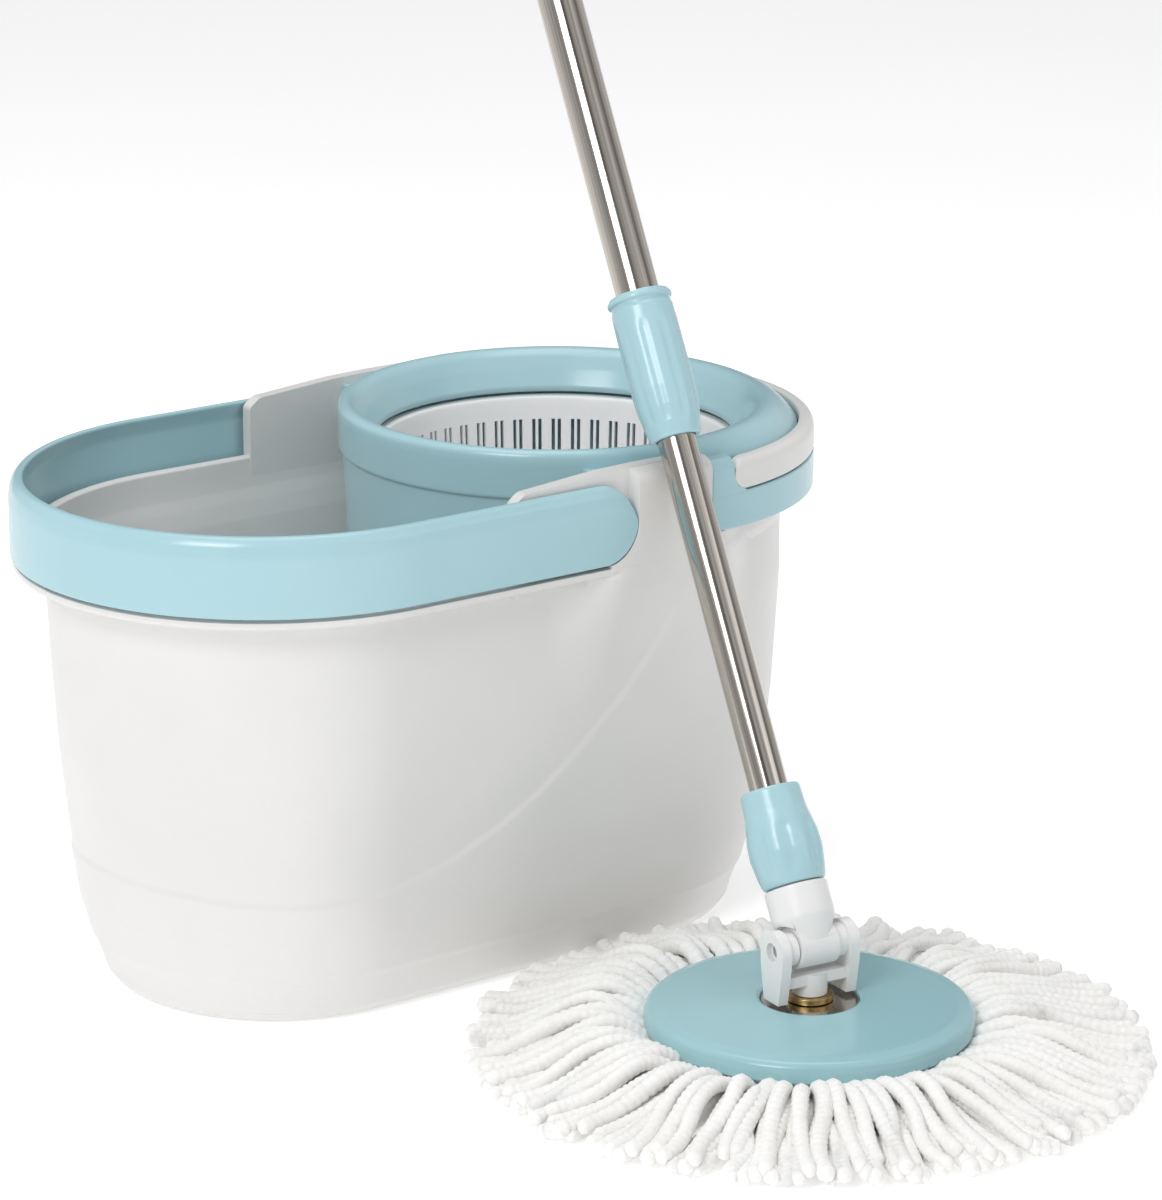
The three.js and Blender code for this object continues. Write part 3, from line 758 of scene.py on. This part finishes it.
def skirt():
    profile = [
        (129, 227), (129, 245.2), (120.3, 245.2), (120.3, 258.5), (119, 260), (112, 260), (112, 257),
        (117.3, 257), (117.3, 242.2), (126, 242.2), (126, 227),
    ]
    obj = cut_raised_pockets(right_band("wringer_skirt", profile, 1.0, SKIRT_X))
    return finished(obj, BLUE, "bucket")


def skirt_root(side):
    """The skirt's full-height start, whose far end makes a pocket for the end of the tilt handle."""
    name = "skirt_root_front" if side < 0 else "skirt_root_back"
    curve = resampled(soften([
        (119.5, 244), (129, 244), (129, 258.5), (127.8, 261.4), (125, 263.4), (119.5, 264),
    ], 1.2, True, 4), 2.5, True)
    shares = np.linspace(0, 1, 14)

    def place_point(share, point):
        r, z = point
        below = max(0.0, TILT_Z - z)
        end = TILT_X - math.sqrt(max((TILT_HALF + 0.5) ** 2 - below * below, 0))
        x = SKIRT_X + share * (end - SKIRT_X)
        if x <= HALF_STRAIGHT:
            return (x, side * r, z)
        return (x, side * math.sqrt(r * r - (x - HALF_STRAIGHT) ** 2), z)

    obj = swept_band(name, curve, list(shares), place_point)
    bevel(obj, 0.6, 2, 50)
    return finished(obj, BLUE, "bucket")


def crest_band():
    """The broad sloping top between the round collar and the long rim."""
    offset = WELL_X - HALF_STRAIGHT

    def edge(angle, radius):
        if radius * math.cos(angle) < -offset and abs(math.sin(angle)) > 0.2:
            return radius / abs(math.sin(angle))
        return -offset * math.cos(angle) + math.sqrt(radius ** 2 - (offset * math.sin(angle)) ** 2)

    inner, rim = 107.5, 119.6
    low_edge, drop, underside = 259.6, 11.3, 257.5
    limit = math.acos(2 / 118)
    angles = np.linspace(-limit, limit, 110)
    shares = np.linspace(0, 1, 9)
    section = [("top", s) for s in shares] + [("low", 1.0), ("low", 0.0)]

    def place_point(angle, point):
        kind, share = point
        reach = inner + share * (edge(angle, rim) - inner)
        z = low_edge + drop * (1 - share ** 1.9) if kind == "top" else underside
        return (WELL_X + reach * math.cos(angle), reach * math.sin(angle), z)

    obj = swept_band("wringer_crest", section, list(angles), place_point)
    cut_raised_pockets(bevel(obj, 0.7, 2, 50))
    return finished(obj, BLUE, "bucket")


def deck():
    """The flat corners of the frame beside the collar, with their turned-down edge."""
    half_width = 116.2

    def board(name, start, end, span):
        outline = [(start, -half_width), (end, -half_width), (end, half_width), (start, half_width)]
        return extruded(name, outline, span, "XY")

    plate = board("wringer_deck", 30, 88, (257, 262))
    tab = board("tab", 30, 33, (246, 259))
    boolean(plate, tab, "UNION")
    well = rod("well", 108, (WELL_X, 0, 240), (WELL_X, 0, 280), 128)
    boolean(plate, well, "DIFFERENCE")
    bevel(plate, 1.0)
    return finished(plate, BLUE, "bucket")


# ---------------------------------------------------------------- basket

def slotted_basket():
    """The basket as one sheet with its slots and drains left out, then thickened."""
    pairs = 54
    slot_radius = 88
    pitch = 2 * math.pi / pairs
    marks = np.array([-2.5, -0.7, 0.7, 2.5, 4.2, pitch * slot_radius - 4.2]) / slot_radius
    angles = np.concatenate([i * pitch + marks for i in range(pairs)])
    rows = [
        (12, 157.5), (20, 157.5), (46, 157.5), (58, 157.5), (70, 157.5), (79.5, 157.5), (82.6, 158.4),
        (84.1, 160.4), (84.7, 163), (85.45, 172), (85.5, 173), (88.7, 235), (88.75, 236), (89.2, 242),
        (89.4, 245.6), (90, 247.3), (91.2, 248), (93.5, 248), (96, 248),
    ]
    slot_rows = {9, 10, 11}
    drain_row = 2
    columns = len(marks) * pairs

    def keep(i, j):
        if i in slot_rows:
            return j % len(marks) not in (0, 2)
        if i == drain_row:
            return (j // len(marks)) % 6 not in (1, 2)
        return True

    vertices = [(r * math.cos(a), r * math.sin(a), z) for r, z in rows for a in angles]
    mesh = bpy.data.meshes.new("basket_wall")
    faces = grid_faces(len(rows), columns, False, True, keep)
    mesh.from_pydata((np.array(vertices) * MM).tolist(), [], faces)
    obj = bpy.data.objects.new("basket_wall", mesh)
    bpy.context.scene.collection.objects.link(obj)
    modifier = obj.modifiers.new("thickness", "SOLIDIFY")
    modifier.thickness = 2.3 * MM
    modifier.offset = 1
    apply_modifiers(obj)
    tidy(obj.data)
    return finished(obj, BASKET_GREY, "basket", ["spin_basket"], WELL_FRAME, sharp=35)


def basket_hub():
    turned_piece("basket_hub", [
        (8, 117), (12, 117), (12, 166), (8, 166),
    ], BASKET_GREY, "basket", [], WELL_FRAME, 0.5, 48)
    turned_piece("basket_cap_dome", [
        (0, 182), (8, 181.5), (16, 178), (22, 169), (23, 158), (26, 158), (25.2, 169), (21.5, 178),
        (16, 182.4), (8, 184.2), (0, 184.5),
    ], BASKET_GREY, "basket", ["basket_cap"], WELL_FRAME, 1.4, 96)


# ---------------------------------------------------------------- mop head

def mop_disc():
    turned_piece("mop_disc", [
        (5.3, 13.2), (30, 13.2), (30, 16.7), (78.4, 16.7), (80, 17.6), (80.2, 22.5), (79.4, 25.4),
        (77.4, 27.3), (72, 28.7), (50, 29.9), (25.6, 31.1), (24.3, 30.6), (24, 28.2), (5.3, 28.2),
    ], DISC_BLUE, "disc", ["head_disc"], MOP_FRAME, 0.9, 160)
    turned_piece("disc_washer", [(6.5, 28.5), (23.6, 28.5), (23.6, 29.9), (6.5, 29.9)], STAINLESS, "disc",
                 ["swivel_washer_steel"], MOP_FRAME, 0.4, 96)
    turned_piece("brass_washer", [(5.3, 30.2), (11.5, 30.2), (11.5, 33.3), (5.3, 33.3)], BRASS, "yoke",
                 ["swivel_washer_brass"], MOP_FRAME, 0.5, 64)


LAYERS = ("yarn_upper", "yarn_middle", "yarn_lower")
LAYER_CORDS = (82, 102, 122)
LAYER_TOP = (20.5, 13.5, 7.0)     # height of its cords' crests
LAYER_LIFT = (5.5, 3.0, 0.0)      # how much higher they stand on the bucket's side
LAYER_TIP = (4.4, 2.0, 0.0)       # height of its tips over the lowest layer's
LAYER_SPREAD = (17, 13, 9)        # how much its cords differ in length
BUCKET_SIDE = math.radians(115)   # direction from the mop's middle to the bucket
YARN_REACH = 169                  # no further, so that the turning head stays clear of the bucket
CORD_STEP = 1.2
CORD_SIDES = 8
CORD_MIDDLE_LEAST = 4.3           # a cord's middle line stays above this height
CORD_LEAST = 0.05                 # and its surface above this one
CORD_START_HEIGHT = 9.0           # under the disc
CORD_TIP_LENGTH = 4.0             # over which its end rounds off
TURN = 6.28                       # about one turn, in radians


def cord_line(rng, angle, layer):
    """The middle line of one yarn cord, in the mop head's frame, from under the disc outwards."""
    towards_bucket = max(0.0, math.cos(angle - BUCKET_SIDE))
    top = LAYER_TOP[layer] + rng.uniform(-1.2, 1.2) + LAYER_LIFT[layer] * towards_bucket
    crest = rng.uniform(92, 108) - 4 * layer
    reach = YARN_REACH - rng.uniform(0, 1) ** 1.6 * LAYER_SPREAD[layer]
    start = rng.uniform(64, 70)
    drift = rng.uniform(-0.06, 0.06)
    sway, phase, waves = rng.uniform(0.8, 3.0), rng.uniform(0, TURN), rng.uniform(0.8, 1.8)
    lift, lift_phase = rng.uniform(0.4, 1.5), rng.uniform(0, TURN)
    ground = 4.6 + rng.uniform(0, 1.0) + LAYER_TIP[layer]
    points = []
    for r in np.arange(start, reach, CORD_STEP):
        along = (r - start) / (reach - start)
        up = smoothstep(r, start, crest)
        down = smoothstep(r, crest, reach - 8)
        z = CORD_START_HEIGHT + (top - CORD_START_HEIGHT) * up + (ground - top) * down
        z += lift * math.sin(lift_phase + 9 * along) * up * (1 - 0.7 * down)
        a = angle + drift * along + sway * math.sin(phase + TURN * waves * along) * along ** 0.5 / max(r, 60)
        points.append((r * math.cos(a), r * math.sin(a), max(z, CORD_MIDDLE_LEAST)))
    return points


def cord_mesh(points, rng):
    """A ribbed cord round a line of points, with round ends."""
    points = np.array(points)
    rib = rng.uniform(3.9, 4.8)
    thick = rng.uniform(3.9, 4.6)
    phase = rng.uniform(0, 3.14)
    tangents = np.gradient(points, axis=0)
    tangents /= np.linalg.norm(tangents, axis=1)[:, None]
    across = np.cross(tangents, (0, 0, 1))
    across /= np.linalg.norm(across, axis=1)[:, None]
    above = np.cross(across, tangents)
    steps = np.linalg.norm(np.diff(points, axis=0), axis=1)
    lengths = np.concatenate([[0], np.cumsum(steps)])
    left = lengths[-1] - lengths
    ribs = 0.78 + 0.22 * np.abs(np.sin(math.pi * lengths / rib + phase)) ** 0.6
    from_end = np.clip(left / CORD_TIP_LENGTH, 0, 1)
    rounding = np.sqrt(np.clip(1 - (1 - from_end) ** 2, 0.02, 1))
    radius = thick * ribs * rounding
    turn = np.arange(CORD_SIDES) * 2 * math.pi / CORD_SIDES
    cosine, sine = np.cos(turn)[None, :, None], np.sin(turn)[None, :, None]
    around = across[:, None, :] * cosine + above[:, None, :] * sine
    vertices = points[:, None, :] + around * radius[:, None, None]
    vertices[..., 2] = np.maximum(vertices[..., 2], CORD_LEAST)
    faces = grid_faces(len(points), CORD_SIDES, False, True) + end_faces(len(points), CORD_SIDES)
    return vertices.reshape(-1, 3), faces


def yarn_object(name, vertices, faces):
    """One layer's mesh, with its faces turned outwards and shaded smooth."""
    mesh = bpy.data.meshes.new(name)
    mesh.from_pydata((vertices * MM).tolist(), [], faces)
    work = bmesh.new()
    work.from_mesh(mesh)
    bmesh.ops.recalc_face_normals(work, faces=work.faces)
    work.to_mesh(mesh)
    work.free()
    mesh.materials.append(YARN)
    mesh.polygons.foreach_set("use_smooth", [True] * len(mesh.polygons))
    obj = bpy.data.objects.new(name, mesh)
    bpy.context.scene.collection.objects.link(obj)
    obj.matrix_world = MOP_FRAME
    return obj


def mop_yarn():
    """The refill's cords, in three layers that lie on each other."""
    rng = random.Random(11)
    for layer, name in enumerate(LAYERS):
        count = LAYER_CORDS[layer]
        all_vertices, all_faces, total = [], [], 0
        for i in range(count):
            angle = (i + rng.uniform(-0.32, 0.32)) * 2 * math.pi / count + 0.01 * layer
            vertices, faces = cord_mesh(cord_line(rng, angle, layer), rng)
            all_vertices.append(vertices)
            all_faces.extend(tuple(v + total for v in face) for face in faces)
            total += len(vertices)
        obj = yarn_object(name, np.vstack(all_vertices), all_faces)
        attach(obj, "disc")
        if layer == 0:
            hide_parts("refill_strands")


# ---------------------------------------------------------------- yoke

YOKE_PIN_ROOM = 3.3       # radius of the holes that the pin goes through


def yoke():
    base = None
    for side in (-1, 1):
        outline = [(-6.5, -25.5), (6.5, -25.5), (9.5, -8)]
        outline += [(10 * math.cos(a), 10 * math.sin(a)) for a in np.linspace(0, math.pi, 25)]
        outline.append((-9.5, -8))
        ear = extruded("ear", outline, side_span(side, 16.7, 22.2), "YZ")
        boss = rod("boss", 8.3, (side * 11.2, 0, 0), (side * 18, 0, 0))
        boolean(ear, boss, "UNION")
        base = ear if base is None else boolean(base, ear, "UNION")
    bridge = extruded("bridge", [(-6.5, -18), (6.5, -18), (6.5, -12.5), (-6.5, -12.5)], (-17.5, 17.5), "YZ")
    boolean(base, bridge, "UNION")
    boolean(base, rod("post", 8.5, (0, 0, -24), (0, 0, -13)), "UNION")
    boolean(base, rod("bore", 5.3, (0, 0, -26), (0, 0, -14.2)), "DIFFERENCE")
    boolean(base, rod("pin_hole", YOKE_PIN_ROOM, (-30, 0, 0), (30, 0, 0), 48), "DIFFERENCE")
    for side in (-1, 1):
        boolean(base, rod("pin_recess", 4.6, (side * 19.4, 0, 0), (side * 30, 0, 0), 48), "DIFFERENCE")
    bevel(base, 0.9, 3, 40)
    base.name = "yoke_fork"
    finished(base, WHITE, "yoke", ["yoke"], YOKE_FRAME)
    along_x = YOKE_FRAME @ Matrix.Rotation(math.pi / 2, 4, "Y")
    turned_piece("yoke_pin_rod", [
        (0, -19.6), (2.2, -19.5), (3, -18.8), (3, 18.8), (2.2, 19.5), (0, 19.6),
    ], STEEL, "yoke", ["yoke_pin"], along_x, 0.4, 48)


# ---------------------------------------------------------------- pole, along Z from the yoke pin

def soft_facets(count, depth, low, high):
    """Shallow grip facets between two heights."""
    def swell(z, angle):
        share = smoothstep(z, low, low + 6) * (1 - smoothstep(z, high - 6, high))
        return -depth * share * (0.5 - 0.5 * np.cos(count * angle)) ** 2
    return swell


def pole_socket():
    body = turned("socket", soften([
        (0, 0), (10, 0), (15.6, 13), (15.6, 29), (12.2, 29.3), (12.2, 74), (9.8, 74), (9.8, 33), (0, 33),
    ], 1.2, False), 96)
    tongue = rod("tongue", 10.2, (-10.6, 0, 0), (10.6, 0, 0), 64)
    boolean(body, tongue, "UNION")
    boolean(body, rod("pin_hole", YOKE_PIN_ROOM, (-30, 0, 0), (30, 0, 0), 48), "DIFFERENCE")
    for side in (-1, 1):
        groove = rod("groove", 11.2, (side * 10.6, 0, 0), (side * 24, 0, 0), 64)
        boolean(body, groove, "DIFFERENCE")
    bevel(body, 0.8, 3, 40)
    body.name = "pole_socket_body"
    return finished(body, WHITE, "lower_pole", ["pole_socket"], POLE_FRAME)


def pole():
    def piece(name, profile, material, body, nodes, **settings):
        return turned_piece(name, profile, material, body, nodes, POLE_FRAME, **settings)

    pole_socket()
    piece("socket_sleeve_grip", [
        (12.6, 29.8), (15.0, 29.8), (16.0, 32), (17.3, 38), (18.3, 46), (17.9, 54), (16.2, 62), (15.4, 66),
        (15.1, 72), (14.9, 76.4), (14.2, 77.8), (12.6, 77.8),
    ], BLUE, "lower_pole", ["socket_sleeve"], size=1.0, step=1.5, segments=144,
        swell=soft_facets(8, 1.3, 33, 62))
    piece("lower_tube_shell", [(8.7, 33.4), (9.5, 33.4), (9.5, 600), (8.7, 600)], STAINLESS, "lower_pole",
          ["lower_tube"], size=0.25, segments=128)
    piece("lock_liner_ring", [
        (9.8, 262), (13.2, 262), (13.2, 322), (11.3, 322), (11.3, 285), (9.8, 285),
    ], WHITE, "upper_pole", ["lock_liner"], size=0.3)
    piece("lock_sleeve_grip", [
        (10, 256.6), (12.2, 256.6), (13.0, 258.2), (14.2, 264), (15.4, 272), (15.9, 282), (15.8, 312),
        (15.5, 323.4), (14.9, 324.6), (14.7, 326.0), (15.0, 326.8), (16.1, 327.2), (16.3, 328.2),
        (16.1, 329.4), (15.2, 330.2), (14.9, 331), (13.5, 331), (13.5, 261.6), (10, 261.6),
    ], BLUE, "lock_sleeve", ["lock_sleeve"], size=0.5, step=2, segments=144,
        swell=soft_facets(10, 0.6, 262, 318))
    piece("upper_tube_shell", [(10.2, 285.4), (11, 285.4), (11, 905), (10.2, 905)], STAINLESS, "upper_pole",
          ["upper_tube"], size=0.25, segments=128)
    grip()
    hang_loop()


def grip():
    outline = [(0, 905.4), (11.3, 905.4), (11.3, 850), (13.2, 850), (14.4, 851.4), (15.2, 856), (15.0, 862)]
    for s in np.arange(868, 966, 7.0):
        radius = 14.7 + 0.6 * math.sin((s - 850) * math.pi / 140)
        outline += [(radius, s), (radius, s + 4.2), (radius - 0.8, s + 5.0), (radius - 0.8, s + 6.0)]
    outline += [(15.3, 970), (15.4, 980), (14.8, 986), (13.4, 989.4), (11, 990), (0, 990)]
    turned_piece("hand_grip_ribbed", outline, BLUE, "upper_pole", ["hand_grip"], POLE_FRAME, 0.5, 96)


def hang_loop():
    radius, centre = 13, 1004
    outline = [(-radius, 988), (radius, 988)]
    arc = np.linspace(0, math.pi, 33)
    outline += [(radius * math.cos(a), centre + radius * math.sin(a)) for a in arc]
    plate = extruded("hang_loop_plate", outline, (-4, 4), "XZ")
    boolean(plate, rod("hook_hole", 6.5, (0, -20, centre), (0, 20, centre), 64), "DIFFERENCE")
    bevel(plate, 1.4, 3, 40)
    return finished(plate, BLUE, "upper_pole", ["hang_loop"], POLE_FRAME)


# ---------------------------------------------------------------- CAD nodes that stay

KEPT = {
    "basket_spindle": STEEL, "thrust_washer": BRASS, "nut_washer": STEEL, "spindle_nut": STEEL,
    "basket_bush": WHITE, "swivel_bolt": STEEL, "refill_ring": WHITE, "clutch_ring": STEEL,
    "drive_nut": WHITE, "drive_rod": STEEL, "rod_anchor": WHITE,
}


def dress_kept_nodes():
    """Every CAD node that still shows gets a finished material in place of its plain one."""
    for name, material in KEPT.items():
        for slot in frame["nodes"][name].material_slots:
            slot.link = "OBJECT"
            slot.material = material


# ---------------------------------------------------------------- the scene

def build():
    add_camera()
    bucket_body()
    for side, end in ((-1, "front"), (1, "back")):
        shoulder(side, "shoulder_" + end)
        carry_boss(side)
        skirt_root(side)
        handle_pin("carry_pin_" + end + "_rivet", "carry_pin_" + end, side, CARRY_X, CARRY_Z, [
            (0, 116.5), (4, 116.5), (4, 127), (0, 127),
        ])
        handle_pin("tilt_pin_" + end + "_rivet", "tilt_pin_" + end, side, TILT_X, TILT_Z, [
            (0, 113), (2.8, 113), (2.8, 125), (0, 125),
        ])
    carry_handle()
    tilt_handle()
    collar()
    skirt()
    crest_band()
    deck()
    slotted_basket()
    basket_hub()
    mop_disc()
    mop_yarn()
    yoke()
    pole()
    dress_kept_nodes()
    add_floor()
    add_world()
    for light in LIGHTS:
        add_light(*light)
    bpy.context.scene.view_settings.view_transform = "Standard"


build()
